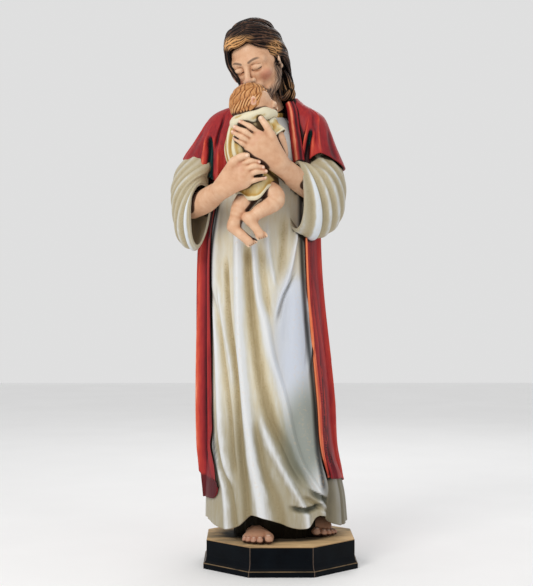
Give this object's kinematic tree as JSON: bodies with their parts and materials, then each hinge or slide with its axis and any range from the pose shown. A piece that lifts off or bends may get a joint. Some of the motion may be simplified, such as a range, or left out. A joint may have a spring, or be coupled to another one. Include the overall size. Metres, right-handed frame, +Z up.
{
  "type": "carved standing figure holding a child",
  "caption": "Painted carved statue of a robed, bearded man in a long cloak holding a small child to his chest, standing on an eight-sided plinth.",
  "frame": {"origin": "centre of the plinth's underside, on the ground", "axes": "+Z up, the figure faces -Y, +X is on the viewer's right"},
  "size_m": [0.4057, 0.3531, 1.1895],
  "materials": {
    "robe_paint": "cream oil paint on carved wood, satin, with ochre hatching in the folds",
    "cloak_paint": "red oil paint on carved wood, satin, orange on the ridges and dark crimson in the folds",
    "lining_paint": "dark teal oil paint on carved wood, satin",
    "skin_paint": "warm skin-coloured oil paint on carved wood, satin",
    "hair_paint": "dark brown oil paint with golden brown strands, satin",
    "child_hair_paint": "golden oil paint with lighter strands, satin",
    "wrap_paint": "pale yellow oil paint on carved wood, satin",
    "trim_gilding": "matt gold paint",
    "plinth_paint": "near black paint with thin brown lines on the edges, brown on top, satin"
  },
  "bodies": {
    "root": {"figure": "robe_paint", "plinth": "plinth_paint"}
  },
  "joints": []
}
